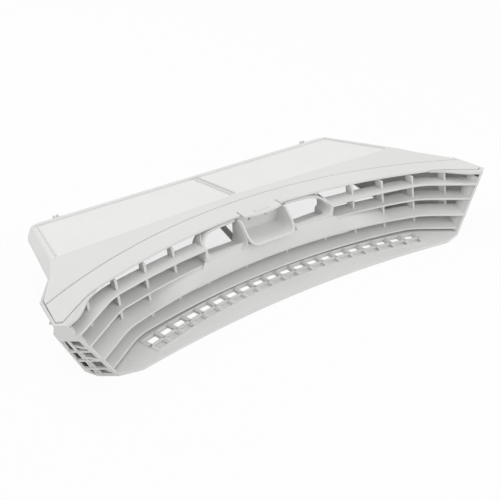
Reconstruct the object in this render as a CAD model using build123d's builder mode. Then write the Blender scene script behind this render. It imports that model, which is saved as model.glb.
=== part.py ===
"""Book-type lint filter of a tumble dryer: a louvred grille housing with a hinged mesh cover."""

import os
from math import asin, cos, degrees, radians, sin, tan

from build123d import *

os.makedirs("parts", exist_ok=True)

# Frame: X runs along the grille, -Y is its concave front, +Y the hinge side, Z is up from the table

# Plan lines of the grille: a long arc, a tighter bend and a straight end
RIM_R = 449.0  # radius of the strip's front edge
RIM_Y = 29.0  # that edge in the middle plane
RIM_BEND_X = 159.5  # where it bends
BEND_R = 50.0
END_TURN = 35.0  # heading of the straight ends, degrees from X

# Heights
RIM_Z = 50.0  # top of the strip
STRIP_T = 1.6  # thickness of the strip
WING_DROP = 0.2  # step from the strip down to the plate behind it
SEAM_W = 1.3  # groove between them
SEAM_DEPTH = 1.0
SEAT_GAP = 0.3  # clearance between the cover and the housing
FLOOR_T = 2.5  # perforated floor
WALL = 2.0  # side walls and bars of the housing

# Sloping end faces: top and bottom corners, back and front
END_TOP_BACK = (200.0, -23.0)
END_TOP_FRONT = (193.0, -28.0)
END_LOW_FRONT = (163.5, -34.0)
END_LOW_SPREAD = 1.6  # the face is this many times wider at the floor
END_T = 2.0
# Outline of the face, as shares across and down
END_OUTLINE = ((0.0, 0.0), (1.0, 0.0), (1.46, 0.13), (1.46, 0.9), (1.0, 1.0), (0.0, 1.0))
END_HOLES = (  # shares of the face: front, back, top, bottom
    (0.2, 1.36, 0.27, 0.47),
    (0.16, 0.74, 0.5, 0.66),
    (0.84, 1.38, 0.5, 0.66),
    (0.16, 0.74, 0.69, 0.83),
    (0.84, 1.38, 0.69, 0.83),
    (0.16, 0.74, 0.86, 0.965),
    (0.84, 1.22, 0.86, 0.95),
)

# Rim ledge set back under the strip, and the wider border round the strip's ends
RIM_SET_BACK = 3.0
RIM_LEDGE = 6.0
RIM_BAR = 1.2
RIM_LIP_GAP = 0.4
RIM_LIP_DROP = 0.6  # top of the border below the top of the strip
RIM_END_START_X = 171.0
RIM_END_FULL_X = 184.0
RIM_END_LIP = 5.0

# Louvres: radius, front edge in the middle plane, front height, start of the bend,
# end along X, rise to the rear
LOUVRES = (
    (574.0, 15.7, 41.3, 138.0, 188.0, 0.0),
    (500.0, 16.0, 29.2, 136.0, 182.0, 1.0),
    (445.0, 11.8, 17.0, 134.0, 176.0, 3.5),
    (570.0, 7.4, 5.8, 123.0, 168.0, 3.5),
)
LOUVRE_DEPTH = 14.0
LOUVRE_T = 1.8
LOUVRE_NOSE = 0.8  # rounding of the front edge
SHORT_LOUVRES = 2  # how many of the upper louvres stop beside the finger holes

# Ribs between the louvres
RIB_X = (86.8, 114.1, 141.4, 168.7)
LOW_RIB_X = (20.0, 58.0)  # below the grip only
RIB_T = 2.0
RIB_FRONT = 2.5  # front and rear of a rib at the rim, measured from the strip's front edge
RIB_REAR = 5.0
RIB_LEAN = 9.5  # how far a rib comes forward from the rim down to the floor

# Grip: two finger holes beside a cup for the thumb
GRIP_HALF = 60.0  # outer end of the finger holes
GRIP_WALL = 2.2
GRIP_LOW = 33.0  # inner bottom of the holes and the cup
SILL_BACK_Y = 28.9
SILL_Z = 29.5  # sill behind the front lip of a hole
SILL_LIP = 1.6
HOLE_CORNER = 7.2
FRAME_BEND_Z = 41.3  # above this the frame leans back to the strip
HOLE_INNER_CORNER = 1.5
CUP_HALF = 20.5
CUP_CORNER = 5.0
CUP_BACK_Y = 34.0
CUP_TOP_FRONT_Y = 24.0
CUP_LOW_FRONT_Y = 8.6
CUP_BEAD = 0.9  # rounding of the cup's front edge
CUP_SLOT = (1.6, 6.0)  # width and height of the two slots in the cup's back wall
CUP_SLOT_X = 8.0
TREAD_T = 2.0  # broad face below the finger holes
TREAD_END_X = 74.0  # its lower end

# Floor and front lip
LIP_Y = -25.0
LIP_R = 840.0
LIP_END_X = 147.0
LIP_END_CORNER = 9.0
FLOOR_BACK_Y = 45.0
HOLE_R = 440.0
HOLE_PITCH = 13.3
HOLE_COUNT = 10  # in each half of a row
HOLE_W = 10.2
HOLE_ROWS = ((4.0, 7.6, FLOOR_T), (-4.9, 5.6, 1.5))  # middle, length and depth of the holes
MIDDLE_TURN = 90.0  # direction of the middle plane about the row's centre, degrees

# Mesh pouch: plan outline, hinge line and slopes
POUCH_MOUTH_Y = 34.0
POUCH_MOUTH_HALF = 177.0  # on the parting plane, where the pouch is widest
POUCH_BACK_HALF = 154.4
POUCH_BACK_Y = 129.5
POUCH_CORNER = 18.0
POUCH_WALL = 1.8
TRAY_DRAFT = 19.0  # degrees, sides of the tray inward to its floor
COVER_DRAFT = 35.0  # degrees, sides of the cover inward to its top
HINGE_Y = 133.5
HINGE_Z = 30.5
COVER_SLOPE = 8.4  # degrees, down to the hinge
COVER_RISE = 7.0  # top of the cover above the parting plane
PLATE_T = 1.5  # frame round the meshes
TRAY_BACK_Z = 22.0  # underside of the tray at its back

# Sides of the housing behind the end faces, at the rim and at the floor
SHOULDER_LEAN = (15.0, 4.0)  # inward and back from the rim down to the floor, at the pouch
SHOULDER_TOP = ((195.5, 8.0), (POUCH_MOUTH_HALF, POUCH_MOUTH_Y))
SHOULDER_LOW = ((171.5, 2.0), (POUCH_MOUTH_HALF - SHOULDER_LEAN[0], POUCH_MOUTH_Y + SHOULDER_LEAN[1]))

# Mesh windows and meshes
MESH_T = 0.5
MESH_DROP = 0.2  # face of a mesh below the frame round it
CENTRE_BAR = 5.0
WINDOW_BORDER = 3.6
WINDOW_SIDE = 7.0  # from the pouch's widest line in to a window of the cover
WINDOW_FRONT = (64.0, 55.0)  # front edge of a window at the middle and at the side
TRAY_WINDOW_FRONT = (53.0, 53.0)
TRAY_WINDOW_SIDE = 14.0  # the tray's windows are this much narrower than the cover's

# Raised strip and its latch tongue
SEAM_R = 414.0
SEAM_Y = 49.4  # the seam behind the strip in the middle plane
STRIP_TIP_X = 193.3  # where the strip's front edge ends
STRIP_END = ((197.4, -20.4), (193.0, 7.0))
TONGUE_HALF = 18.0
TONGUE_LIP_Y = 24.5
TONGUE_ROUND = 66.0
SLIT_W = 1.2
SLIT_BACK_Y = 34.0
MARK = (13.0, 3.0, 0.5)  # raised rectangle on the tongue
MARK_Y = 27.0

# Hinge lugs
LUG_INSET = 28.4  # from the pouch's back corner
LUG_X = POUCH_BACK_HALF - LUG_INSET
KNUCKLE_W = 7.0
KNUCKLE_R = 3.0
EAR_W = 3.0
EAR_R = 3.2
HINGE_SIDE_GAP = 0.4
PIN_R = 1.5
PIN_GAP = 0.06

RIM_SEAT_Z = RIM_Z - STRIP_T - SEAT_GAP


def heading_at(radius, x):
    """Heading of a long arc at X, in degrees."""
    return degrees(asin(x / radius))


def run_line(radius, front_y, bend_x, end_x, start_x=0.0):
    """Half of one grille line in plan: long arc, tighter bend, straight end."""
    turn_start = heading_at(radius, start_x)
    turn_end = heading_at(radius, bend_x)
    start = (start_x, front_y - radius + radius * cos(radians(turn_start)))
    heading = (cos(radians(turn_start)), -sin(radians(turn_start)))
    with BuildLine() as line:
        arc = JernArc(start, heading, radius, turn_start - turn_end)
        bend = JernArc(arc @ 1, arc % 1, BEND_R, turn_end - END_TURN)
        corner = bend @ 1
        Line(corner, corner + (bend % 1) * ((end_x - corner.X) / (bend % 1).X))
    return line.wire()


def rim_y(x):
    """Y of the strip's front edge at X: on the long arc, in the bend or on the straight end."""
    arc_turn = radians(heading_at(RIM_R, min(x, RIM_BEND_X)))
    bend_share = sin(arc_turn) + max(x - RIM_BEND_X, 0) / BEND_R
    bend_turn = asin(min(bend_share, sin(radians(END_TURN))))
    past = x - RIM_R * sin(arc_turn) - BEND_R * (sin(bend_turn) - sin(arc_turn))
    arc_y = RIM_Y - RIM_R + RIM_R * cos(arc_turn)
    return arc_y - BEND_R * (cos(arc_turn) - cos(bend_turn)) - past * tan(radians(END_TURN))


def section_plane(radius, front_y, start_x=0.0):
    """Plane across a grille line at its start: local x points to the rear, local y up."""
    turn = radians(heading_at(radius, start_x))
    foot = (start_x, front_y - radius + radius * cos(turn), 0)
    return Plane(foot, x_dir=(sin(turn), cos(turn), 0), z_dir=(cos(turn), -sin(turn), 0))


def louvre(radius, front_y, front_z, bend_x, end_x, rise, start_x):
    """One half of a louvre: a tread with a rounded front edge."""
    with BuildPart() as tread:
        with BuildSketch(section_plane(radius, front_y, start_x)) as profile:
            with BuildLine():
                Polyline(
                    (0, front_z - LOUVRE_T),
                    (LOUVRE_DEPTH, front_z + rise - LOUVRE_T),
                    (LOUVRE_DEPTH, front_z + rise),
                    (0, front_z),
                    close=True,
                )
            make_face()
            fillet(profile.vertices().sort_by(Axis.X)[:2], LOUVRE_NOSE)
        sweep(path=run_line(radius, front_y, bend_x, end_x, start_x))
    return tread.part


def point_3d(plan, z):
    return Vector(plan[0], plan[1], z)


# Corners of the right end face and the plane it lies in
END_P1 = point_3d(END_TOP_BACK, RIM_SEAT_Z)
END_P2 = point_3d(END_TOP_FRONT, RIM_SEAT_Z)
END_P3 = point_3d(END_LOW_FRONT, 0)
END_NORMAL = (END_P3 - END_P2).cross(END_P1 - END_P2).normalized()
END_PLANE = Plane(END_P2, x_dir=END_P1 - END_P2, z_dir=END_NORMAL)
END_P4 = END_P3 + (END_P1 - END_P2) * END_LOW_SPREAD


def end_point(across, down):
    """Local point on the end face: across from the front edge to the back, down from the rim."""
    front = END_P2 + (END_P3 - END_P2) * down
    back = END_P1 + (END_P4 - END_P1) * down
    local = END_PLANE.to_local_coords(front + (back - front) * across)
    return (local.X, local.Y)


# Half of the grille: rim, louvres, ribs and the perforated end face
RIM_END_X = END_TOP_FRONT[0] + END_T

with BuildPart() as rim:
    with BuildSketch(section_plane(RIM_R, RIM_Y)) as rim_profile:
        with Locations((RIM_SET_BACK + RIM_LEDGE / 2, RIM_SEAT_Z - RIM_BAR / 2)):
            Rectangle(RIM_LEDGE, RIM_BAR)
    sweep(path=run_line(RIM_R, RIM_Y, RIM_BEND_X, RIM_END_X))

with BuildPart() as rim_end:
    with BuildSketch(Plane.XY.offset(RIM_SEAT_Z - RIM_BAR)):
        with BuildLine():
            Polyline(
                (RIM_END_START_X, rim_y(RIM_END_START_X) - RIM_LIP_GAP),
                (STRIP_TIP_X + RIM_LIP_GAP, rim_y(STRIP_TIP_X + RIM_LIP_GAP) - RIM_LIP_GAP),
                (STRIP_END[0][0] + RIM_LIP_GAP, STRIP_END[0][1] - 2 * RIM_LIP_GAP),
                END_TOP_BACK,
                END_TOP_FRONT,
                (RIM_END_FULL_X, rim_y(RIM_END_FULL_X) - RIM_END_LIP),
                close=True,
            )
        make_face()
    extrude(amount=RIM_Z - RIM_LIP_DROP - RIM_SEAT_Z + RIM_BAR)

louvres = []
for number, sizes in enumerate(LOUVRES):
    start_x = GRIP_HALF - HOLE_CORNER if number < SHORT_LOUVRES else 0.0
    louvres.append(louvre(*sizes, start_x))

rib_tops = {x: RIM_SEAT_Z - RIM_BAR / 2 for x in RIB_X} | {x: SILL_Z - GRIP_WALL / 2 for x in LOW_RIB_X}
lean = RIB_LEAN / RIM_SEAT_Z
ribs = []
for rib_x, rib_top in rib_tops.items():
    top_y = rim_y(rib_x) - (RIM_SEAT_Z - rib_top) * lean
    low_y = top_y - (rib_top - FLOOR_T / 2) * lean
    with BuildPart() as rib:
        with BuildSketch(Plane.YZ.offset(rib_x - RIB_T / 2)):
            with BuildLine():
                Polyline(
                    (top_y + RIB_REAR, rib_top),
                    (top_y - RIB_FRONT, rib_top),
                    (low_y - RIB_FRONT, FLOOR_T / 2),
                    (low_y + RIB_REAR, FLOOR_T / 2),
                    close=True,
                )
            make_face()
        extrude(amount=RIB_T)
    ribs.append(rib.part)

with BuildPart() as end_face:
    with BuildSketch(END_PLANE):
        with BuildLine():
            Polyline(*[end_point(across, down) for across, down in END_OUTLINE], close=True)
        make_face()
        for front, back, top, bottom in END_HOLES:
            corners = ((front, top), (back, top), (back, bottom), (front, bottom))
            with BuildLine():
                Polyline(*[end_point(across, down) for across, down in corners], close=True)
            make_face(mode=Mode.SUBTRACT)
    extrude(amount=-END_T)
    split(bisect_by=Plane.XY.offset(RIM_SEAT_Z), keep=Keep.BOTTOM)

# Half of the frame round the finger holes, flush with the short louvres' front edges
HOLE_TOP = RIM_SEAT_Z - RIM_BAR
frame_radius, frame_y = LOUVRES[SHORT_LOUVRES - 1][:2]
frame_low = SILL_Z - GRIP_WALL
hole_start = CUP_HALF + GRIP_WALL
hole_centre = ((hole_start + GRIP_HALF) / 2, (GRIP_LOW + RIM_SEAT_Z) / 2)
hole_size = (GRIP_HALF - hole_start, RIM_SEAT_Z - GRIP_LOW)
sill_lip_y = frame_y + SILL_LIP
FRAME_SLOPE = Plane(
    (0, SILL_BACK_Y, RIM_SEAT_Z),
    x_dir=(1, 0, 0),
    z_dir=(0, FRAME_BEND_Z - RIM_SEAT_Z, SILL_BACK_Y - frame_y),
)

with BuildPart() as finger_frame:
    with BuildSketch(Plane.XZ.offset(-SILL_BACK_Y)) as frame_front:
        with Locations((hole_centre[0] + GRIP_WALL / 2, (frame_low + RIM_SEAT_Z) / 2)):
            Rectangle(hole_size[0] + GRIP_WALL, RIM_SEAT_Z - frame_low)
        fillet(frame_front.vertices().sort_by(Axis.X)[-2:], HOLE_CORNER + GRIP_WALL)
    extrude(amount=SILL_BACK_Y)
    with Locations((0, frame_y - frame_radius, RIM_Z / 2)):
        Cylinder(frame_radius, RIM_Z, mode=Mode.SUBTRACT)
    split(bisect_by=FRAME_SLOPE, keep=Keep.BOTTOM)

with BuildPart() as finger_space:
    with BuildSketch(Plane.XZ.offset(-SILL_BACK_Y)) as finger_front:
        with Locations(hole_centre):
            Rectangle(*hole_size)
        fillet(finger_front.vertices().sort_by(Axis.X)[-2:], HOLE_CORNER)
        fillet(finger_front.vertices().sort_by(Axis.X)[:2], HOLE_INNER_CORNER)
    extrude(amount=SILL_BACK_Y)
    with BuildSketch(Plane.YZ.offset(hole_start)):
        with Locations(((sill_lip_y + SILL_BACK_Y) / 2, (SILL_Z + hole_centre[1]) / 2)):
            Rectangle(SILL_BACK_Y - sill_lip_y, hole_centre[1] - SILL_Z)
    extrude(amount=hole_size[0] - HOLE_CORNER / 2)

# Broad face from the finger holes down to the front edge of the first long louvre
tread_radius, tread_y, tread_z = LOUVRES[SHORT_LOUVRES][:3]
tread_back = frame_y - tread_y
tread_turn = heading_at(tread_radius, TREAD_END_X)
frame_end_x = GRIP_HALF + GRIP_WALL
TREAD_END = Plane(
    (frame_end_x, 0, GRIP_LOW),
    x_dir=(0, 1, 0),
    z_dir=(GRIP_LOW - tread_z, 0, TREAD_END_X - frame_end_x),
)
with BuildPart() as broad_tread:
    with BuildSketch(section_plane(tread_radius, tread_y)) as tread_profile:
        with BuildLine():
            Polyline(
                (0, tread_z - LOUVRE_T),
                (TREAD_T, tread_z - LOUVRE_T),
                (tread_back + TREAD_T, GRIP_LOW - GRIP_WALL),
                (tread_back, GRIP_LOW - GRIP_WALL),
                (0, tread_z),
                close=True,
            )
        make_face()
    revolve(axis=Axis((0, tread_y - tread_radius, 0), (0, 0, 1)), revolution_arc=-tread_turn)
    split(bisect_by=TREAD_END, keep=Keep.BOTTOM)

# Cup for the thumb: a scoop with a sloping rounded edge and two slots in its back wall
CUP_SLOPE = Plane(
    (0, CUP_TOP_FRONT_Y, RIM_SEAT_Z),
    x_dir=(1, 0, 0),
    z_dir=(0, GRIP_LOW - RIM_SEAT_Z, CUP_TOP_FRONT_Y - CUP_LOW_FRONT_Y),
)

with BuildPart() as cup_space:
    with BuildSketch(Plane.XZ.offset(-CUP_BACK_Y + WALL)) as cup_front:
        with Locations((0, (GRIP_LOW + RIM_Z + WALL) / 2)):
            Rectangle(2 * CUP_HALF, RIM_Z + WALL - GRIP_LOW)
        fillet(cup_front.vertices().sort_by(Axis.Y)[:2], CUP_CORNER)
    extrude(amount=CUP_BACK_Y)
    with BuildSketch(Plane.XZ.offset(-CUP_BACK_Y - WALL)):
        slot_z = HOLE_TOP - CUP_SLOT[1] / 2
        with Locations((CUP_SLOT_X, slot_z), (-CUP_SLOT_X, slot_z)):
            Rectangle(*CUP_SLOT)
    extrude(amount=3 * WALL)

with BuildPart() as cup:
    with BuildSketch(Plane.XZ.offset(-CUP_BACK_Y)) as cup_outline:
        with Locations((0, (GRIP_LOW - GRIP_WALL + HOLE_TOP) / 2)):
            Rectangle(2 * hole_start, HOLE_TOP - GRIP_LOW + GRIP_WALL)
        fillet(cup_outline.vertices().sort_by(Axis.Y)[:2], CUP_CORNER + GRIP_WALL)
    extrude(amount=CUP_BACK_Y)
    split(bisect_by=CUP_SLOPE, keep=Keep.BOTTOM)
    add(cup_space.part, mode=Mode.SUBTRACT)
    front_edges = cup.faces().filter_by(CUP_SLOPE.offset(0)).sort_by(Axis.Y)[0].edges()
    fillet(front_edges.filter_by(lambda edge: edge.center().Z < HOLE_TOP - CUP_BEAD), CUP_BEAD)

# Half of the floor with its lip and two rows of holes
lip_turn = degrees(asin(LIP_END_X / LIP_R))
hole_step = degrees(HOLE_PITCH / HOLE_R)
hole_span = hole_step * (HOLE_COUNT - 1)
first_hole = MIDDLE_TURN - hole_step / 2 - hole_span
with BuildPart() as floor:
    with BuildSketch() as floor_plan:
        with BuildLine():
            lip = JernArc((0, LIP_Y), (1, 0), LIP_R, -lip_turn)
            Polyline(
                lip @ 1,
                END_LOW_FRONT,
                (END_P4.X, END_P4.Y),
                SHOULDER_LOW[0],
                (SHOULDER_LOW[1][0], FLOOR_BACK_Y),
                (0, FLOOR_BACK_Y),
                (0, LIP_Y),
            )
        make_face()
        fillet(floor_plan.vertices().sort_by_distance(lip @ 1)[0], LIP_END_CORNER)
    extrude(amount=FLOOR_T)
    for row_y, hole_length, hole_depth in HOLE_ROWS:
        with BuildSketch(Plane.XY.offset(FLOOR_T - hole_depth)):
            with Locations((0, row_y - HOLE_R)):
                with PolarLocations(HOLE_R, HOLE_COUNT, first_hole, hole_span, True, True):
                    Rectangle(hole_length, HOLE_W)
        extrude(amount=hole_depth, mode=Mode.SUBTRACT)


def wall_strip(points, thickness):
    """Closed outline of a wall of one thickness along plan points, inward along X."""
    inner = [(x - thickness, y) for x, y in points]
    return list(points) + inner[::-1]


# Half of the shoulder: the sloping sides from the end face back to the pouch
with BuildPart() as shoulder:
    with BuildSketch():
        with BuildLine():
            Polyline(*wall_strip(((END_P4.X, END_P4.Y),) + SHOULDER_LOW, WALL), close=True)
        make_face()
    with BuildSketch(Plane.XY.offset(RIM_SEAT_Z)):
        with BuildLine():
            Polyline(*wall_strip((END_TOP_BACK,) + SHOULDER_TOP, WALL), close=True)
        make_face()
    loft(ruled=True)
    with BuildSketch(Plane.XY.offset(RIM_SEAT_Z)):
        with BuildLine():
            Polyline(*wall_strip((END_TOP_BACK, SHOULDER_TOP[0]), WALL), close=True)
        make_face()
    extrude(amount=STRIP_T + SEAT_GAP - RIM_LIP_DROP)


def side_x(y):
    """X of the pouch's widest line at Y."""
    share = (y - POUCH_MOUTH_Y) / (POUCH_BACK_Y - POUCH_MOUTH_Y)
    return POUCH_MOUTH_HALF + (POUCH_BACK_HALF - POUCH_MOUTH_HALF) * share


def side_plane(lean):
    """Plane through the pouch's widest line, with its upper part leaning outward by an angle."""
    run = POUCH_BACK_Y - POUCH_MOUTH_Y
    edge = Vector(POUCH_BACK_HALF - POUCH_MOUTH_HALF, run, -run * tan(radians(COVER_SLOPE)))
    outward = Vector(edge.Y, -edge.X, 0).normalized()
    upward = outward * sin(radians(lean)) + Vector(0, 0, cos(radians(lean)))
    front_z = HINGE_Z + (HINGE_Y - POUCH_MOUTH_Y) * tan(radians(COVER_SLOPE))
    return Plane((POUCH_MOUTH_HALF, POUCH_MOUTH_Y, front_z), x_dir=edge, z_dir=edge.cross(upward))


def pouch_outline(inset=0.0, front_y=POUCH_MOUTH_Y):
    """Right half of the pouch in plan, smaller all round by an inset."""
    with BuildSketch() as plan:
        with BuildLine():
            Polyline(
                (0, front_y),
                (side_x(front_y) - inset, front_y),
                (POUCH_BACK_HALF - inset, POUCH_BACK_Y - inset),
                (0, POUCH_BACK_Y - inset),
                close=True,
            )
        make_face()
        fillet(plan.vertices().sort_by(Axis.Y)[-2:].sort_by(Axis.X)[-1], POUCH_CORNER - inset)
    return plan.sketch


def window_plan(front_middle, front_side, narrower=0.0):
    """Right-hand mesh window in plan."""
    back_y = POUCH_BACK_Y - WINDOW_BORDER - POUCH_WALL
    inset = WINDOW_SIDE + narrower
    with BuildSketch() as plan:
        with BuildLine():
            Polyline(
                (CENTRE_BAR / 2, front_middle),
                (side_x(front_side) - inset, front_side),
                (side_x(back_y) - inset, back_y),
                (CENTRE_BAR / 2, back_y),
                close=True,
            )
        make_face()
    return plan.sketch


# Sloping planes of the pouch: the parting plane through the hinge, the cover's top and the tray
COVER_UP = (0, sin(radians(COVER_SLOPE)), cos(radians(COVER_SLOPE)))
PARTING = Plane((0, HINGE_Y, HINGE_Z), x_dir=(1, 0, 0), z_dir=COVER_UP)
COVER_TOP = PARTING.offset(COVER_RISE)
TRAY_LOW = Plane(
    (0, FLOOR_BACK_Y, 0),
    x_dir=(1, 0, 0),
    z_dir=(0, -TRAY_BACK_Z, POUCH_BACK_Y - FLOOR_BACK_Y),
)
TRAY_SIDE = side_plane(TRAY_DRAFT)
COVER_SIDE = side_plane(-COVER_DRAFT)
MOUTH_OPEN = POUCH_MOUTH_Y - WALL
LEVEL_Z = RIM_Z - WING_DROP
# The level plate turns into the slope where the cover's top plane comes down to it
FOLD_Y = HINGE_Y - (LEVEL_Z - HINGE_Z - COVER_RISE / cos(radians(COVER_SLOPE))) / tan(radians(COVER_SLOPE))

with BuildPart() as tray_inside:
    add(pouch_outline(POUCH_WALL, MOUTH_OPEN))
    extrude(amount=RIM_Z)
    split(bisect_by=TRAY_LOW.offset(PLATE_T), keep=Keep.TOP)
    split(bisect_by=TRAY_SIDE.offset(-POUCH_WALL), keep=Keep.BOTTOM)

with BuildPart() as tray:
    add(pouch_outline())
    extrude(amount=RIM_SEAT_Z)
    split(bisect_by=TRAY_LOW, keep=Keep.TOP)
    split(bisect_by=PARTING.offset(-SEAT_GAP / 2), keep=Keep.BOTTOM)
    split(bisect_by=TRAY_SIDE, keep=Keep.BOTTOM)
    add(tray_inside.part, mode=Mode.SUBTRACT)
    add(window_plan(*TRAY_WINDOW_FRONT, TRAY_WINDOW_SIDE))
    extrude(amount=RIM_Z, mode=Mode.SUBTRACT)


def lug_profile(radius, arm_low, arm_high):
    """Round lug about the hinge axis with an arm towards the pouch."""
    with BuildSketch(Plane.YZ) as profile:
        with Locations((HINGE_Y, HINGE_Z)):
            Circle(radius)
        with Locations(((POUCH_BACK_Y - POUCH_WALL + HINGE_Y) / 2, HINGE_Z + (arm_low + arm_high) / 2)):
            Rectangle(HINGE_Y - POUCH_BACK_Y + POUCH_WALL, arm_high - arm_low)
    return profile.sketch


EAR_X = LUG_X + KNUCKLE_W / 2 + HINGE_SIDE_GAP
ears = []
for ear_x in (EAR_X, 2 * LUG_X - EAR_X - EAR_W):
    with BuildPart() as ear:
        add(Pos(ear_x, 0, 0) * lug_profile(EAR_R, -EAR_R, -SEAT_GAP))
        extrude(amount=EAR_W, dir=(1, 0, 0))
        with BuildSketch(Plane.YZ.offset(ear_x)):
            with Locations((HINGE_Y, HINGE_Z)):
                Circle(PIN_R + PIN_GAP)
        extrude(amount=EAR_W, mode=Mode.SUBTRACT)
    ears.append(ear.part)

with BuildPart() as grille_housing:
    add(rim.part)
    add(rim_end.part)
    add(louvres)
    add(ribs)
    add(finger_frame.part)
    add(broad_tread.part)
    split(bisect_by=END_PLANE, keep=Keep.BOTTOM)
    add(finger_space.part, mode=Mode.SUBTRACT)
    add(end_face.part)
    add(floor.part)
    add(shoulder.part)
    add(tray.part)
    add(ears)
    mirror(about=Plane.YZ)
    add(cup_space.part, mode=Mode.SUBTRACT)
    add(cup.part)
grille_housing.part.label = "grille_housing"
export_step(grille_housing.part, "parts/grille_housing.step")


# Cover: level strip and wings in front, sloping frame behind
def strip_plan(back):
    """Right half of the strip's front and end edges, closed along the given back points."""
    with BuildSketch() as plan:
        with BuildLine():
            front = run_line(RIM_R, RIM_Y, RIM_BEND_X, STRIP_TIP_X)
            add(front)
            Polyline(front @ 1, *STRIP_END, *back, front @ 0)
        make_face()
    return plan.sketch


fold_side_x = side_x(FOLD_Y) - COVER_RISE * tan(radians(COVER_DRAFT))
with BuildPart() as wing:
    add(strip_plan(((POUCH_MOUTH_HALF - WALL / 2, POUCH_MOUTH_Y), (fold_side_x, FOLD_Y), (0, FOLD_Y))))
    extrude(amount=STRIP_T - WING_DROP)

with BuildPart() as strip:
    add(strip_plan((SHOULDER_TOP[1], (SHOULDER_TOP[1][0], FOLD_Y + WALL), (0, FOLD_Y + WALL))))
    extrude(amount=STRIP_T)
    with BuildSketch():
        with Locations((0, SEAM_Y - SEAM_R)):
            Circle(SEAM_R)
    extrude(amount=STRIP_T, mode=Mode.INTERSECT)

with BuildPart() as seam:
    with BuildSketch(Plane.XY.offset(RIM_Z - SEAM_DEPTH)):
        with Locations((0, SEAM_Y - SEAM_R)):
            Circle(SEAM_R + SEAM_W)
            Circle(SEAM_R, mode=Mode.SUBTRACT)
    extrude(amount=SEAM_DEPTH)

with BuildPart() as cover_inside:
    add(pouch_outline(POUCH_WALL, MOUTH_OPEN))
    extrude(amount=RIM_Z + STRIP_T)
    split(bisect_by=COVER_TOP.offset(-PLATE_T), keep=Keep.BOTTOM)
    split(bisect_by=COVER_SIDE.offset(-POUCH_WALL), keep=Keep.BOTTOM)

with BuildPart() as cover_frame:
    add(pouch_outline(front_y=POUCH_MOUTH_Y + 2 * SEAT_GAP))
    extrude(amount=LEVEL_Z)
    split(bisect_by=PARTING.offset(SEAT_GAP / 2), keep=Keep.TOP)
    split(bisect_by=COVER_TOP, keep=Keep.BOTTOM)
    split(bisect_by=COVER_SIDE, keep=Keep.BOTTOM)
    add(cover_inside.part, mode=Mode.SUBTRACT)
    add(window_plan(*WINDOW_FRONT))
    extrude(amount=RIM_Z, mode=Mode.SUBTRACT)

with BuildPart() as tongue:
    with BuildSketch(Plane.XY.offset(RIM_Z - STRIP_T)):
        with BuildLine():
            Polyline(
                (-TONGUE_HALF, TONGUE_LIP_Y),
                (-TONGUE_HALF, SLIT_BACK_Y),
                (TONGUE_HALF, SLIT_BACK_Y),
                (TONGUE_HALF, TONGUE_LIP_Y),
            )
            RadiusArc((TONGUE_HALF, TONGUE_LIP_Y), (-TONGUE_HALF, TONGUE_LIP_Y), TONGUE_ROUND)
        make_face()
    extrude(amount=STRIP_T)
    with BuildSketch(Plane.XY.offset(RIM_Z)):
        with Locations((0, MARK_Y)):
            Rectangle(MARK[0], MARK[1])
    extrude(amount=MARK[2])

# The arm of a knuckle starts above the parting plane where it meets the back of the cover
ARM_LOW = SEAT_GAP + (HINGE_Y - POUCH_BACK_Y + POUCH_WALL) * tan(radians(COVER_SLOPE))
with BuildPart() as knuckle:
    add(Pos(LUG_X - KNUCKLE_W / 2, 0, 0) * lug_profile(KNUCKLE_R, ARM_LOW, KNUCKLE_R))
    extrude(amount=KNUCKLE_W, dir=(1, 0, 0))
    with BuildSketch(Plane.YZ.offset(EAR_X + EAR_W)):
        with Locations((HINGE_Y, HINGE_Z)):
            Circle(PIN_R)
    extrude(amount=-2 * (EAR_X + EAR_W - LUG_X))

with BuildPart() as mesh_cover:
    add(Pos(0, 0, RIM_Z - STRIP_T) * wing.part)
    add(Pos(0, 0, RIM_Z - STRIP_T) * strip.part)
    add(cover_frame.part)
    add(knuckle.part)
    mirror(about=Plane.YZ)
    with BuildSketch(Plane.XY.offset(RIM_Z - STRIP_T - WALL)):
        for side in (-1, 1):
            with Locations((side * (TONGUE_HALF + SLIT_W / 2), (SLIT_BACK_Y + TONGUE_LIP_Y) / 2)):
                Rectangle(SLIT_W, SLIT_BACK_Y - TONGUE_LIP_Y)
    extrude(amount=STRIP_T + 2 * WALL, mode=Mode.SUBTRACT)
    add(seam.part, mode=Mode.SUBTRACT)
    add(tongue.part)
mesh_cover.part.label = "mesh_cover"
export_step(mesh_cover.part, "parts/mesh_cover.step")

# Four fine meshes in the windows of the cover and the tray, left and right
with BuildPart() as cover_mesh:
    add(window_plan(*WINDOW_FRONT))
    extrude(amount=RIM_Z)
    split(bisect_by=COVER_TOP.offset(-MESH_DROP), keep=Keep.BOTTOM)
    split(bisect_by=COVER_TOP.offset(-MESH_DROP - MESH_T), keep=Keep.TOP)

with BuildPart() as tray_mesh:
    add(window_plan(*TRAY_WINDOW_FRONT, TRAY_WINDOW_SIDE))
    extrude(amount=RIM_Z)
    split(bisect_by=TRAY_LOW.offset(MESH_DROP), keep=Keep.TOP)
    split(bisect_by=TRAY_LOW.offset(MESH_DROP + MESH_T), keep=Keep.BOTTOM)

for base_name, mesh in (("cover_mesh", cover_mesh), ("tray_mesh", tray_mesh)):
    for side_name, placed in (("right", mesh.part), ("left", mirror(mesh.part, about=Plane.YZ))):
        placed.label = f"{base_name}_{side_name}"
        export_step(placed, f"parts/{placed.label}.step")
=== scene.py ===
import math

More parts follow.
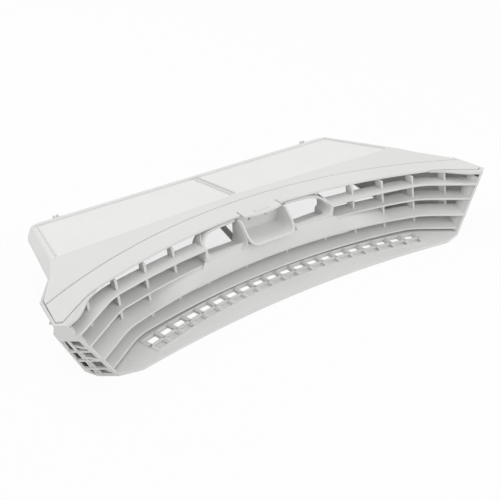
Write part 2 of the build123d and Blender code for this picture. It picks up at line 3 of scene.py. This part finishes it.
import bmesh
import bpy
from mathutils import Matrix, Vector


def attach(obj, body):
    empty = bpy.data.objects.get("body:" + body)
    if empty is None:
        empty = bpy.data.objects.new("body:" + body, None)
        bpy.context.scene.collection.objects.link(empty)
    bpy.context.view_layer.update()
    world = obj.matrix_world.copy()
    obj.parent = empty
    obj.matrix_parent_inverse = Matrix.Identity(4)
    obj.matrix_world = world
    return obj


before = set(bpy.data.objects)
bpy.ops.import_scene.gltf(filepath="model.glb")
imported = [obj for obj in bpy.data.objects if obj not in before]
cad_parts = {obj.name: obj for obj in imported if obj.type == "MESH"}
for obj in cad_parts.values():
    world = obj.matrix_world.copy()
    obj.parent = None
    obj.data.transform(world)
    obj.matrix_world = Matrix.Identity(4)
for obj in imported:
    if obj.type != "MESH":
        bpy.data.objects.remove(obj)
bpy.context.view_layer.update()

bl_info = {
    "name": "Lint Filter Dressing",
    "version": (1, 0, 0),
    "blender": (4, 5, 0),
    "location": "View3D > Sidebar > Lint Filter",
    "description": "Finishes, small mouldings and a white studio for a hinged dryer lint filter",
    "category": "Object",
}

MM = 0.001
SIDES = {"right": 1, "left": -1}
PLASTIC = {"housing_plastic": "grille_housing_plastic", "cover_plastic": "mesh_cover_plastic"}
WHITE = (1.0, 1.0, 1.0, 1.0)
CLOUD_SHADE = 0.9  # darkest colour of a clouded surface, as a share of its plain one

# Third louvre in millimetres: radius and front edge in the middle plane, and its height
THIRD_LOUVRE = (445.0, 11.8)
THIRD_LOUVRE_Z = 17.0

# How every sheet is rounded off
SMOOTH_ANGLE = math.radians(40.0)
SMOOTH_LEVELS = 2
INWARD = -1.0
RIM_WIDEST = 0.5
RIM_SHARE = 0.3  # of the wall
RIM_SEGMENTS = 2


class Value:
    """A shader socket that takes part in Python arithmetic through Math nodes."""

    def __init__(self, shader, socket):
        self.shader = shader
        self.socket = socket

    def _math(self, operation, first, second):
        return self.shader.node("ShaderNodeMath", {"operation": operation}, {0: first, 1: second})

    def __add__(self, other):
        return self._math("ADD", self, other)

    def __radd__(self, other):
        return self._math("ADD", other, self)

    def __mul__(self, other):
        return self._math("MULTIPLY", self, other)

    def __rmul__(self, other):
        return self._math("MULTIPLY", other, self)

    def largest(self, other):
        return self._math("MAXIMUM", self, other)


class Shader:
    """The node tree of one material or world, built up by one generic method."""

    def __init__(self, tree):
        self.tree = tree
        tree.nodes.clear()

    def node(self, kind, settings=None, inputs=None, output=0):
        made = self.tree.nodes.new(kind)
        for key, setting in (settings or {}).items():
            setattr(made, key, setting)
        for key, given in (inputs or {}).items():
            if isinstance(given, Value):
                self.tree.links.new(given.socket, made.inputs[key])
            else:
                made.inputs[key].default_value = given
        return Value(self, made.outputs[output]) if made.outputs else None

    def place(self):
        return self.node("ShaderNodeTexCoord", output="Object")

    def noise(self, place, scale, detail=2.0, roughness=0.5):
        inputs = {"Vector": place, "Scale": scale, "Detail": detail, "Roughness": roughness}
        return self.node("ShaderNodeTexNoise", None, inputs)

    def tint(self, colour, share):
        """A colour darkened by a share that varies over the surface."""
        plain = (*colour[:3], 1.0)
        dark = (*(channel * CLOUD_SHADE for channel in colour[:3]), 1.0)
        settings = {"data_type": "RGBA", "blend_type": "MIX"}
        return self.node("ShaderNodeMix", settings, {"Factor": share, 6: plain, 7: dark}, 2)

    def surface(self, shader):
        self.node("ShaderNodeOutputMaterial", None, {"Surface": shader})


def material(name):
    made = bpy.data.materials.new(name)
    made.use_nodes = True
    return made, Shader(made.node_tree)


def dress(node, finish):
    """Gives a CAD node one finish all over."""
    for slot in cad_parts[node].material_slots:
        slot.material = finish


def arc_y(line, x):
    """Y of a grille line at X, on its long arc."""
    radius, front_y = line
    return front_y - radius + math.sqrt(radius**2 - x**2)


def between(first, last, count):
    """Points in millimetres from one point to another, evenly spaced."""
    start, end = Vector(first), Vector(last)
    return [start.lerp(end, step / (count - 1)) for step in range(count)]


def finish_piece(piece, slot="housing_plastic", body="housing"):
    """Hangs a finished piece on its body with the finish of a record slot."""
    bpy.ops.object.shade_smooth_by_angle(angle=SMOOTH_ANGLE)
    piece.data.materials.append(bpy.data.materials[PLASTIC[slot]])
    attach(piece, body)


def sheet(name, rows, thickness, side):
    """A grid pulled into place point by point, smoothed, thickened inward and rounded at its rim."""
    bpy.ops.object.select_all(action="DESELECT")
    across = len(rows[0]) - 1
    along = len(rows) - 1
    bpy.ops.mesh.primitive_grid_add(x_subdivisions=across, y_subdivisions=along, size=MM)
    piece = bpy.context.object
    piece.name = name
    goals = [Vector((side * point.x, point.y, point.z)) * MM for row in rows for point in row[::side]]
    bpy.ops.object.mode_set(mode="EDIT")
    bpy.ops.mesh.select_mode(type="VERT")
    points = sorted(bmesh.from_edit_mesh(piece.data).verts, key=lambda point: (point.co.y, point.co.x))
    for point, goal in zip(points, goals):
        bpy.ops.mesh.select_all(action="DESELECT")
        point.select = True
        bpy.ops.transform.translate(value=goal - point.co)
    bpy.ops.object.mode_set(mode="OBJECT")
    smooth = piece.modifiers.new("smooth", "SUBSURF")
    smooth.levels = SMOOTH_LEVELS
    smooth.render_levels = SMOOTH_LEVELS
    smooth.boundary_smooth = "PRESERVE_CORNERS"
    wall = piece.modifiers.new("wall", "SOLIDIFY")
    wall.thickness = thickness * MM
    wall.offset = INWARD
    rim = piece.modifiers.new("rim", "BEVEL")
    rim.width = min(RIM_WIDEST, RIM_SHARE * thickness) * MM
    rim.segments = RIM_SEGMENTS
    rim.limit_method = "ANGLE"
    for modifier in ("smooth", "wall", "rim"):
        bpy.ops.object.modifier_apply(modifier=modifier)
    return piece


def join(pieces):
    """Makes one piece of several."""
    bpy.ops.object.select_all(action="DESELECT")
    for piece in pieces:
        piece.select_set(True)
    bpy.context.view_layer.objects.active = pieces[0]
    bpy.ops.object.join()
    return pieces[0]


class FilterFinish(bpy.types.PropertyGroup):
    """Colours and surface grain of the mouldings and the meshes."""

    housing_colour: bpy.props.FloatVectorProperty(
        name="Housing",
        description="Colour of the grille housing's plastic",
        subtype="COLOR",
        default=(0.78, 0.78, 0.765),
        min=0.0,
        max=1.0,
    )
    cover_colour: bpy.props.FloatVectorProperty(
        name="Cover",
        description="Colour of the cover's plastic",
        subtype="COLOR",
        default=(0.82, 0.82, 0.81),
        min=0.0,
        max=1.0,
    )
    mesh_colour: bpy.props.FloatVectorProperty(
        name="Mesh",
        description="Colour of the mesh's threads",
        subtype="COLOR",
        default=(0.93, 0.93, 0.92),
        min=0.0,
        max=1.0,
    )
    edge_radius: bpy.props.FloatProperty(
        name="Edge rounding",
        description="How softly the edges of the mouldings catch the light",
        subtype="DISTANCE",
        default=0.0005,
        min=0.0,
    )
    thread_pitch: bpy.props.FloatProperty(
        name="Thread pitch",
        description="Distance between neighbouring threads of the mesh",
        subtype="DISTANCE",
        default=0.0007,
        min=0.0001,
    )
    cover_mesh_density: bpy.props.FloatProperty(
        name="Cover mesh density",
        description="Share of the light that the cover's mesh holds back",
        subtype="FACTOR",
        default=0.97,
        min=0.0,
        max=1.0,
    )
    tray_mesh_density: bpy.props.FloatProperty(
        name="Tray mesh density",
        description="Share of the light that the tray's mesh holds back",
        subtype="FACTOR",
        default=0.08,
        min=0.0,
        max=1.0,
    )


class FilterStudio(bpy.types.PropertyGroup):
    """Camera and light of the white studio."""

    eye: bpy.props.FloatVectorProperty(
        name="Camera",
        description="Where the camera stands",
        subtype="TRANSLATION",
        default=(-0.3733, -0.4727, 0.3768),
    )
    sight: bpy.props.FloatVectorProperty(
        name="Sight line",
        description="Direction that the camera looks along",
        subtype="DIRECTION",
        default=(0.5072, 0.6992, -0.5039),
    )
    lens: bpy.props.FloatProperty(
        name="Lens",
        description="Focal length in millimetres on a 36 mm sensor",
        default=64.8,
        min=1.0,
    )
    sky: bpy.props.FloatProperty(
        name="Sky light",
        description="Even light from all around",
        default=0.66,
        min=0.0,
    )
    key_power: bpy.props.FloatProperty(
        name="Key light",
        description="Power of the large lamp above the hinge side",
        subtype="POWER",
        default=4.0,
        min=0.0,
    )
    fill_power: bpy.props.FloatProperty(
        name="Fill light",
        description="Power of the large lamp in front of the grille",
        subtype="POWER",
        default=3.2,
        min=0.0,
    )
    floor_glow: bpy.props.FloatProperty(
        name="Floor glow",
        description="Share of the floor's white that doesn't depend on the lamps",
        subtype="FACTOR",
        default=0.93,
        min=0.0,
        max=1.0,
    )


class LINT_OT_mouldings(bpy.types.Operator):
    """Give the housing and the cover their satin moulded plastic"""

    bl_idname = "lint.mouldings"
    bl_label = "Moulded Plastic"

    CLOUD_SCALE = 14.0
    CLOUD_TINT = 0.5
    GRAIN = {"scale": 2600.0, "detail": 3.0, "roughness": 0.6}
    GRAIN_STRENGTH = 0.12
    GRAIN_DEPTH = 0.0001
    EDGE_SAMPLES = 6
    ROUGHNESS = (0.4, 0.14)  # least, and what the clouds add
    IOR = 1.5
    SPECULAR = 0.4

    def execute(self, context):
        finish = context.scene.filter_finish
        colours = {"grille_housing": finish.housing_colour, "mesh_cover": finish.cover_colour}
        for node, colour in colours.items():
            dress(node, self.plastic(node + "_plastic", colour, finish.edge_radius))
        return {"FINISHED"}

    def plastic(self, name, colour, edge_radius):
        made, shader = material(name)
        place = shader.place()
        clouds = shader.noise(place, self.CLOUD_SCALE)
        grain = shader.noise(place, **self.GRAIN)
        rounded = shader.node("ShaderNodeBevel", {"samples": self.EDGE_SAMPLES}, {"Radius": edge_radius})
        bump = shader.node(
            "ShaderNodeBump",
            None,
            {
                "Strength": self.GRAIN_STRENGTH,
                "Distance": self.GRAIN_DEPTH,
                "Height": grain,
                "Normal": rounded,
            },
        )
        least, added = self.ROUGHNESS
        plastic = shader.node(
            "ShaderNodeBsdfPrincipled",
            None,
            {
                "Base Color": shader.tint(colour, clouds * self.CLOUD_TINT),
                "Roughness": least + clouds * added,
                "Normal": bump,
                "IOR": self.IOR,
                "Specular IOR Level": self.SPECULAR,
            },
        )
        shader.surface(plastic)
        return made


class LINT_OT_meshes(bpy.types.Operator):
    """Give the four meshes their fine open weave"""

    bl_idname = "lint.meshes"
    bl_label = "Filter Meshes"

    CLOUD_SCALE = 22.0
    CLOUD_TINT = 0.4
    ROUGHNESS = (0.55, 0.15)  # least, and what the clouds add
    OPACITY = (0.9, 0.2)  # shares of the density: between the threads, and what a thread adds
    THREAD_STRENGTH = 0.2
    THREAD_DEPTH = 1 / 4  # of the pitch
    SPECULAR = 0.3

    def execute(self, context):
        finish = context.scene.filter_finish
        densities = {"cover_mesh": finish.cover_mesh_density, "tray_mesh": finish.tray_mesh_density}
        for group, density in densities.items():
            weave = self.weave(group + "_weave", finish.mesh_colour, finish.thread_pitch, density)
            for side in SIDES:
                dress(f"{group}_{side}", weave)
        return {"FINISHED"}

    def weave(self, name, colour, pitch, density):
        made, shader = material(name)
        place = shader.place()
        axes = shader.node("ShaderNodeSeparateXYZ", None, {"Vector": place})
        threads = []
        for axis in ("X", "Y"):
            along = Value(shader, axes.socket.node.outputs[axis])
            turn = along * (2 * math.pi / pitch)
            wave = shader.node("ShaderNodeMath", {"operation": "COSINE"}, {0: turn})
            threads.append(wave * 0.5 + 0.5)  # from -1 to 1, to 0 to 1
        raised = threads[0].largest(threads[1])
        clouds = shader.noise(place, self.CLOUD_SCALE)
        bump = shader.node(
            "ShaderNodeBump",
            None,
            {"Strength": self.THREAD_STRENGTH, "Distance": pitch * self.THREAD_DEPTH, "Height": raised},
        )
        least, added = self.ROUGHNESS
        open_share, thread_share = self.OPACITY
        cloth = shader.node(
            "ShaderNodeBsdfPrincipled",
            None,
            {
                "Base Color": shader.tint(colour, clouds * self.CLOUD_TINT),
                "Roughness": least + clouds * added,
                "Alpha": raised * (density * thread_share) + density * open_share,
                "Normal": bump,
                "Specular IOR Level": self.SPECULAR,
            },
        )
        shader.surface(cloth)
        return made


class LINT_OT_finger_rings(bpy.types.Operator):
    """Add the leaning D-shaped rings round the outer ends of the finger holes"""

    bl_idname = "lint.finger_rings"
    bl_label = "Finger Rings"

    # Outer face of a ring from its foot to the strip: front and back edge
    FRONT = (
        (62.4, 12.3, 29.6),
        (62.6, 12.9, 34.0),
        (62.2, 15.2, 38.6),
        (60.6, 18.6, 42.6),
        (57.4, 21.6, 45.6),
        (52.6, 24.4, 47.2),
        (46.0, 26.2, 47.9),
        (36.0, 27.3, 47.9),
        (24.4, 28.1, 47.9),
    )
    BACK_Y = 31.0
    LEAST_DEPTH = 1.5
    COLUMNS = 5
    WALL = 2.0

    def execute(self, context):
        rows = []
        for x, y, z in self.FRONT:
            back_y = max(self.BACK_Y, y + self.LEAST_DEPTH)
            rows.append(between((x, y, z), (x, back_y, z), self.COLUMNS))
        for name, side in SIDES.items():
            finish_piece(sheet(f"finger_ring_{name}", rows, self.WALL, side))
        return {"FINISHED"}


class LINT_OT_cup_flanks(bpy.types.Operator):
    """Add the broad side walls between the thumb cup and the finger holes"""

    bl_idname = "lint.cup_flanks"
    bl_label = "Cup Flanks"

    # Outer face of a flank from the top down: X, front Y and back Y, Z
    LEVELS = (
        (23.0, 25.2, 34.0, 46.8),
        (23.05, 20.4, 34.0, 42.6),
        (23.2, 15.6, 33.6, 37.8),
        (23.7, 12.0, 32.6, 34.0),
        (24.9, 11.2, 30.6, 31.0),
        (28.5, 14.6, 28.8, 28.6),
    )
    COLUMNS = 4
    WALL = 0.9

    def execute(self, context):
        rows = []
        for x, front, back, z in self.LEVELS:
            rows.append(between((x, back, z), (x, front, z), self.COLUMNS))
        for name, side in SIDES.items():
            finish_piece(sheet(f"cup_flank_{name}", rows, self.WALL, side))
        return {"FINISHED"}


class LINT_OT_broad_face_ends(bpy.types.Operator):
    """Add the curved ends that turn the broad face below the holes into the third louvre"""

    bl_idname = "lint.broad_face_ends"
    bl_label = "Broad Face Ends"

    REACH = (57.0, 118.0)  # along X
    MEET_X = 64.0  # where the end comes out of the broad face
    TURN_X = 70.0  # where it starts to turn
    STEPS = 16
    STEEP = (2.9, 9.6)  # top of the broad face: behind and above the third louvre's edge
    FLAT = (15.0, 3.5)  # far end: the same
    TUCK = Vector((0.0, 2.6, 1.5))  # from the top into the second louvre
    SUNK = 0.35  # how far its start lies inside the broad face
    PROUD = 0.15  # how far the rest stands in front of the louvre
    COLUMNS = 5
    WALL = 1.2

    def execute(self, context):
        rows = []
        for step in range(self.STEPS):
            x = self.REACH[0] + (self.REACH[1] - self.REACH[0]) * step / (self.STEPS - 1)
            out = min((x - self.REACH[0]) / (self.MEET_X - self.REACH[0]), 1.0)
            turned = max(x - self.TURN_X, 0.0) / (self.REACH[1] - self.TURN_X)
            back = self.STEEP[0] + (self.FLAT[0] - self.STEEP[0]) * turned
            rise = self.STEEP[1] + (self.FLAT[1] - self.STEEP[1]) * turned**2
            front_y = arc_y(THIRD_LOUVRE, x) + self.SUNK - (self.SUNK + self.PROUD) * out
            low = (x, front_y, THIRD_LOUVRE_Z)
            high = Vector((x, front_y + back, THIRD_LOUVRE_Z + rise))
            rows.append([high + self.TUCK, *between(high, low, self.COLUMNS)])
        for name, side in SIDES.items():
            finish_piece(sheet(f"broad_face_end_{name}", rows, self.WALL, side))
        return {"FINISHED"}


class LINT_OT_end_cheeks(bpy.types.Operator):
    """Add the cheeks that close the ends behind the outer column of holes"""

    bl_idname = "lint.end_cheeks"
    bl_label = "End Cheeks"

    # Outer face of a cheek from the rim down: front X and Y, back X and Y, Z
    LEVELS = (
        (197.6, -22.3, 193.2, 7.2, 46.4),
        (197.6, -20.9, 190.6, 6.7, 40.6),
        (190.6, -21.5, 183.0, 4.7, 23.0),
        (182.2, -22.1, 174.4, 2.6, 4.8),
        (175.2, -25.2, 172.0, 2.0, 0.3),
    )
    COLUMNS = 5
    WALL = 1.2

    def execute(self, context):
        rows = []
        for front_x, front_y, back_x, back_y, z in self.LEVELS:
            rows.append(between((back_x, back_y, z), (front_x, front_y, z), self.COLUMNS))
        for name, side in SIDES.items():
            finish_piece(sheet(f"end_cheek_{name}", rows, self.WALL, side))
        return {"FINISHED"}


class LINT_OT_end_liners(bpy.types.Operator):
    """Add the walls that stand a little way behind the holes of the end faces"""

    bl_idname = "lint.end_liners"
    bl_label = "End Liners"

    # Corners of the right end face: top back, top front, low front, low back
    CORNERS = ((200.0, -23.0, 48.1), (193.0, -28.0, 48.1), (163.5, -34.0, 0.0), (174.7, -26.0, 0.0))
    # Shares from the front edge to the back, with the depth behind the end face
    ACROSS = ((0.03, 0.8), (0.25, 7.0), (0.6, 11.0), (0.98, 12.0), (1.4, 12.0))
    DOWN = (0.08, 0.38, 0.67, 0.96)
    WALL = 1.2

    def execute(self, context):
        top_back, top_front, low_front, low_back = (Vector(corner) for corner in self.CORNERS)
        inward = (top_back - top_front).cross(low_front - top_front).normalized()
        rows = []
        for down in self.DOWN:
            front = top_front.lerp(low_front, down)
            across = top_back.lerp(low_back, down) - front
            rows.append([front + across * share + inward * depth for share, depth in self.ACROSS])
        for name, side in SIDES.items():
            finish_piece(sheet(f"end_liner_{name}", rows, self.WALL, side))
        return {"FINISHED"}


class LINT_OT_floor_ladder(bpy.types.Operator):
    """Add the raised rails and rungs round the two rows of floor holes"""

    bl_idname = "lint.floor_ladder"
    bl_label = "Floor Ladder"

    ROW_RADIUS = 440.0
    RAILS = ((9.4, 8.0), (0.1, -2.0), (-7.8, -9.4))  # back and front edge in the middle plane
    PITCH = 13.3
    HALF_COUNT = 10  # rungs on each side of the middle one
    HALF_STEPS = 16  # stations of a rail on each side of the middle one
    RUNG_W = 2.9
    TOP_Z = 3.2
    WALL = 1.0

    def on_row(self, along, y):
        """Point at a length along the row and a place in the middle plane."""
        turn = along / self.ROW_RADIUS
        radius = self.ROW_RADIUS + y
        return Vector((radius * math.sin(turn), radius * math.cos(turn) - self.ROW_RADIUS, self.TOP_Z))

    def execute(self, context):
        reach = self.PITCH * self.HALF_COUNT + self.RUNG_W / 2
        stations = [reach * (step / self.HALF_STEPS - 1) for step in range(2 * self.HALF_STEPS + 1)]
        made = []
        for back, front in self.RAILS:
            rows = [[self.on_row(along, back), self.on_row(along, front)] for along in stations]
            made.append(sheet("floor_ladder", rows, self.WALL, 1))
        back_end = self.RAILS[0][1]
        front_end = self.RAILS[2][0]
        for number in range(-self.HALF_COUNT, self.HALF_COUNT + 1):
            middle = number * self.PITCH
            edges = (middle - self.RUNG_W / 2, middle + self.RUNG_W / 2)
            rows = [[self.on_row(along, back_end), self.on_row(along, front_end)] for along in edges]
            made.append(sheet("floor_ladder", rows, self.WALL, 1))
        finish_piece(join(made))
        return {"FINISHED"}


class LINT_OT_window_bars(bpy.types.Operator):
    """Add the low rounded bars that frame the cover's two meshes"""

    bl_idname = "lint.window_bars"
    bl_label = "Window Bars"

    # Plan of one bar in millimetres, on the right half of the cover
    BACK = ((0.0, 123.6), (146.0, 123.6))
    SIDE = ((146.0, 123.6), (160.7, 57.0))
    CENTRE = ((1.9, 66.0), (1.9, 123.0))
    STATIONS = 4
    WIDTH = 1.4
    HEIGHT = 1.5
    RAISED = 0.8  # share of the height that stands above the cover
    SLOPE = math.tan(math.radians(8.4))
    FOLD = (50.7, 49.8)  # where the cover starts to slope: Y and Z

    def execute(self, context):
        bars = {"back": self.BACK, "side": self.SIDE, "centre": self.CENTRE}
        for label, (start, end) in bars.items():
            along = (Vector(end) - Vector(start)).normalized()
            across = Vector((along.y, -along.x)) * self.WIDTH / 2
            rows = []
            for middle in between(start, end, self.STATIONS):
                rows.append([self.on_cover(middle - across), self.on_cover(middle + across)])
            for name, side in SIDES.items():
                bar = sheet(f"window_bar_{label}_{name}", rows, self.HEIGHT, side)
                finish_piece(bar, "cover_plastic", "cover")
        return {"FINISHED"}

    def on_cover(self, plan):
        """Point on top of a bar above a place in the plan."""
        fold_y, fold_z = self.FOLD
        z = fold_z - (plan.y - fold_y) * self.SLOPE + self.HEIGHT * self.RAISED
        return Vector((plan.x, plan.y, z))


class LINT_OT_hinge_lugs(bpy.types.Operator):
    """Add the two short prongs that stand on each hinge knuckle"""

    bl_idname = "lint.hinge_lugs"
    bl_label = "Hinge Lugs"

    PRONGS_X = (124.6, 127.6)
    FRONT_Y = 131.4
    # Half width of a prong at its heights
    LEVELS = ((1.1, 32.6), (1.0, 35.0), (0.9, 37.2), (0.7, 38.6))
    COLUMNS = 2
    WALL = 2.4

    def execute(self, context):
        for name, side in SIDES.items():
            prongs = []
            for x in self.PRONGS_X:
                rows = []
                for half, z in self.LEVELS:
                    inner = (x - half, self.FRONT_Y, z)
                    outer = (x + half, self.FRONT_Y, z)
                    rows.append(between(inner, outer, self.COLUMNS))
                prongs.append(sheet(f"hinge_lug_{name}", rows, self.WALL, side))
            finish_piece(join(prongs), "cover_plastic", "cover")
        return {"FINISHED"}


class LINT_OT_tip_borders(bpy.types.Operator):
    """Add the wide borders in front of the strip's two tips"""

    bl_idname = "lint.tip_borders"
    bl_label = "Tip Borders"

    # Top of a border along the strip: inner X and Y beside the strip, outer X and Y
    STATIONS = (
        (158.0, 0.0, 157.9, -0.2),
        (162.0, -1.8, 161.6, -2.5),
        (166.0, -3.8, 165.1, -5.3),
        (171.0, -6.9, 169.3, -9.0),
        (176.0, -10.4, 173.4, -13.8),
        (181.0, -13.9, 177.6, -18.4),
        (186.0, -17.4, 182.3, -22.6),
        (190.0, -20.2, 187.4, -25.4),
        (193.0, -22.2, 192.4, -27.3),
    )
    TOP_Z = 49.3
    COLUMNS = 3
    WALL = 1.5

    def execute(self, context):
        rows = []
        for inner_x, inner_y, outer_x, outer_y in self.STATIONS:
            inner = (inner_x, inner_y, self.TOP_Z)
            outer = (outer_x, outer_y, self.TOP_Z)
            rows.append(between(inner, outer, self.COLUMNS))
        for name, side in SIDES.items():
            finish_piece(sheet(f"tip_border_{name}", rows, self.WALL, side))
        return {"FINISHED"}


class LINT_OT_studio(bpy.types.Operator):
    """Add the white floor, the light and the camera"""

    bl_idname = "lint.studio"
    bl_label = "White Studio"

    KEY_PLACE = Vector((-0.25, 0.75, 1.1))
    FILL_PLACE = Vector((0.4, -0.9, 0.6))
    TARGET = Vector((0.0, 0.05, 0.03))
    LAMP_SIZE = 1.0
    FLOOR_SIZE = 8.0
    PAPER = (0.9, 0.9, 0.9, 1.0)
    SENSOR_WIDTH = 36.0

    def execute(self, context):
        studio = context.scene.filter_studio
        self.floor(studio.floor_glow)
        self.sky(context.scene, studio.sky)
        self.lamp("key_lamp", self.KEY_PLACE, studio.key_power)
        self.lamp("fill_lamp", self.FILL_PLACE, studio.fill_power)
        self.camera(context.scene, studio)
        context.scene.view_settings.view_transform = "Standard"
        return {"FINISHED"}

    def seen_directly(self, shader):
        """One for camera, glossy and transmission rays, which see the plain white."""
        path = shader.node("ShaderNodeLightPath").socket.node.outputs
        camera = Value(shader, path["Is Camera Ray"])
        glossy = Value(shader, path["Is Glossy Ray"])
        return camera.largest(glossy).largest(Value(shader, path["Is Transmission Ray"]))

    def floor(self, glow):
        bpy.ops.object.select_all(action="DESELECT")
        bpy.ops.mesh.primitive_plane_add(size=self.FLOOR_SIZE)
        ground = bpy.context.object
        ground.name = "studio_floor"
        made, shader = material("studio_white")
        paper = shader.node("ShaderNodeBsdfDiffuse", None, {"Color": self.PAPER})
        white = shader.node("ShaderNodeEmission", None, {"Color": WHITE, "Strength": 1.0})
        share = self.seen_directly(shader) * glow
        shader.surface(shader.node("ShaderNodeMixShader", None, {0: share, 1: paper, 2: white}))
        ground.data.materials.append(made)

    def sky(self, scene, strength):
        world = bpy.data.worlds.new("studio_sky")
        world.use_nodes = True
        scene.world = world
        shader = Shader(world.node_tree)
        level = self.seen_directly(shader) * (1.0 - strength) + strength
        backdrop = shader.node("ShaderNodeBackground", None, {"Color": WHITE, "Strength": level})
        shader.node("ShaderNodeOutputWorld", None, {"Surface": backdrop})

    def lamp(self, name, place, power):
        turn = (self.TARGET - place).to_track_quat("-Z", "Y").to_euler()
        bpy.ops.object.light_add(type="AREA", location=place, rotation=turn)
        made = bpy.context.object
        made.name = name
        made.data.shape = "DISK"
        made.data.size = self.LAMP_SIZE
        made.data.energy = power

    def camera(self, scene, studio):
        turn = Vector(studio.sight).to_track_quat("-Z", "Y").to_euler()
        bpy.ops.object.camera_add(location=studio.eye, rotation=turn)
        camera = bpy.context.object
        camera.data.sensor_width = self.SENSOR_WIDTH
        camera.data.lens = studio.lens
        scene.camera = camera


class LINT_PT_panel(bpy.types.Panel):
    """Sidebar panel that lists the finishes and the steps"""

    bl_label = "Lint Filter"
    bl_idname = "LINT_PT_panel"
    bl_space_type = "VIEW_3D"
    bl_region_type = "UI"
    bl_category = "Lint Filter"

    def draw(self, context):
        for group in (context.scene.filter_finish, context.scene.filter_studio):
            for name in group.__annotations__:
                self.layout.prop(group, name)
        for step in STEPS:
            self.layout.operator(step.bl_idname)


STEPS = (
    LINT_OT_mouldings,
    LINT_OT_meshes,
    LINT_OT_finger_rings,
    LINT_OT_cup_flanks,
    LINT_OT_broad_face_ends,
    LINT_OT_end_cheeks,
    LINT_OT_end_liners,
    LINT_OT_floor_ladder,
    LINT_OT_window_bars,
    LINT_OT_hinge_lugs,
    LINT_OT_tip_borders,
    LINT_OT_studio,
)
CLASSES = (FilterFinish, FilterStudio, *STEPS, LINT_PT_panel)


def register():
    for made in CLASSES:
        bpy.utils.register_class(made)
    bpy.types.Scene.filter_finish = bpy.props.PointerProperty(type=FilterFinish)
    bpy.types.Scene.filter_studio = bpy.props.PointerProperty(type=FilterStudio)


def unregister():
    del bpy.types.Scene.filter_studio
    del bpy.types.Scene.filter_finish
    for made in reversed(CLASSES):
        bpy.utils.unregister_class(made)


def main():
    register()
    bpy.ops.object.select_all(action="DESELECT")
    bpy.ops.lint.mouldings()
    bpy.ops.lint.meshes()
    bpy.ops.lint.finger_rings()
    bpy.ops.lint.cup_flanks()
    bpy.ops.lint.broad_face_ends()
    bpy.ops.lint.end_cheeks()
    bpy.ops.lint.end_liners()
    bpy.ops.lint.floor_ladder()
    bpy.ops.lint.window_bars()
    bpy.ops.lint.hinge_lugs()
    bpy.ops.lint.tip_borders()
    bpy.ops.lint.studio()


if __name__ == "__main__":
    main()
